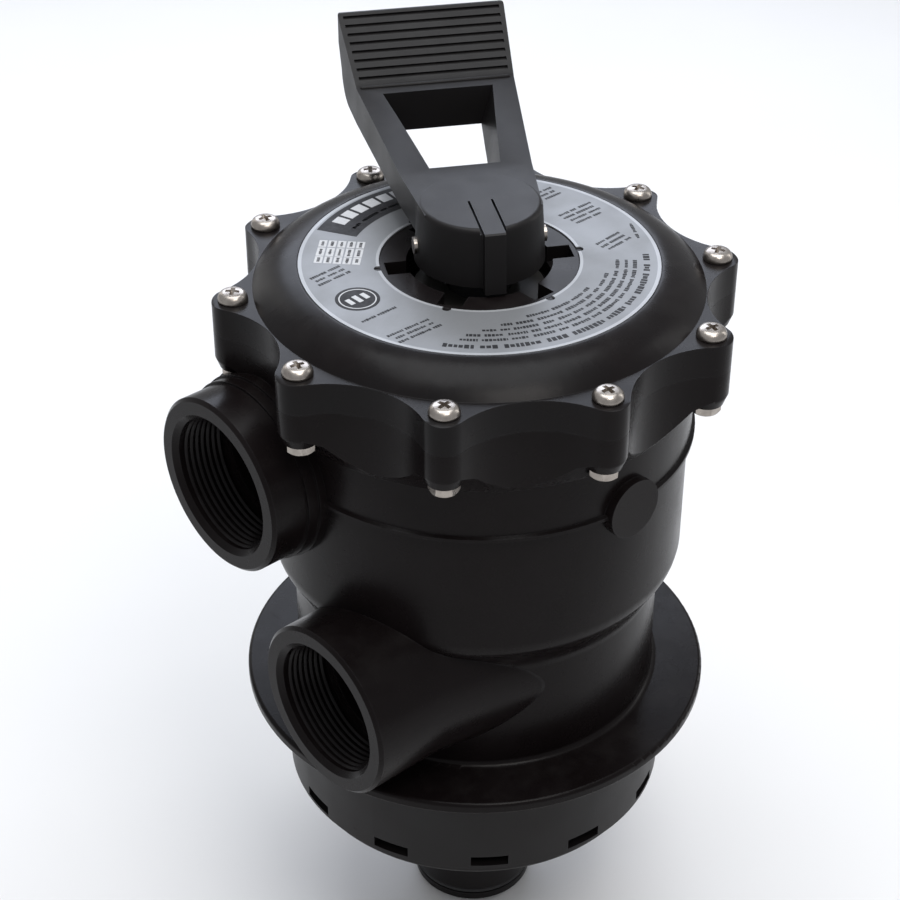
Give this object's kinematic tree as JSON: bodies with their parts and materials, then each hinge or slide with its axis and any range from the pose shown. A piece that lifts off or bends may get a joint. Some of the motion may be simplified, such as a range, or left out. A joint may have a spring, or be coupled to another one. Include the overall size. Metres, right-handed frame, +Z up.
{
  "type": "top-mount multiport valve",
  "caption": "Top-mount multiport filter valve with lobed bolted cover, side pipe ports, tank flange, diffuser and a lever handle that lifts and turns the inner rotor.",
  "frame": {"origin": "centre of the tank flange's flat seating face, on the stem's axis", "axes": "+Z up along the stem; the pump and return ports point along -X, the waste port along +X"},
  "size_m": [0.181, 0.1893, 0.3207],
  "materials": {
    "body_black": "satin moulded ABS",
    "cover_black": "satin moulded ABS",
    "handle_black": "fine-textured moulded ABS",
    "label_silver": "satin printed foil",
    "screw_steel": "bright stainless steel",
    "spring_steel": "drawn stainless wire",
    "seal_rubber": "matt black rubber",
    "washer_acetal": "natural acetal",
    "rotor_grey": "moulded glass-filled ABS",
    "diffuser_black": "satin moulded ABS",
    "sight_clear": "clear moulded plastic"
  },
  "bodies": {
    "valve": {"valve_body": "body_black", "pump_port": "body_black", "return_port": "body_black", "waste_port": "body_black", "sight_glass": "sight_clear", "sight_glass_o_ring": "seal_rubber", "cover": "cover_black", "cover_label": "label_silver", "cover_o_ring": "seal_rubber", "cover_screws": "screw_steel", "cover_nuts": "screw_steel", "spider_gasket": "seal_rubber", "rotor_spring": "spring_steel", "upper_spring_washer": "washer_acetal", "diffuser": "diffuser_black", "tank_o_ring": "seal_rubber", "centre_pipe": "diffuser_black", "centre_pipe_o_ring": "seal_rubber"},
    "turning_washer": {"thrust_washer": "washer_acetal"},
    "rotor": {"diverter_rotor": "rotor_grey", "stem_o_rings": "seal_rubber", "lower_spring_washer": "washer_acetal"},
    "lever": {"handle": "handle_black", "handle_pin": "screw_steel"}
  },
  "joints": [
    {"name": "valve_turn", "type": "hinge", "parent": "valve", "child": "turning_washer", "pos_m": [0, 0, 0.158], "axis": [0, 0, 1], "continuous": true},
    {"name": "key_lift", "type": "slide", "parent": "turning_washer", "child": "rotor", "axis": [0, 0, 1], "range_m": [0, 0.003], "deforming": ["rotor_spring"]},
    {"name": "handle_press", "type": "hinge", "parent": "rotor", "child": "lever", "pos_m": [0, 0, 0.1758], "axis": [-0.866, 0.5, 0], "range_deg": [0, 12], "stiffness_Nm_per_rad": 3, "springref_deg": -14.32}
  ],
  "couplings": [
    {"joint": "key_lift", "follows": "handle_press", "m_per_rad": 0.0143}
  ]
}
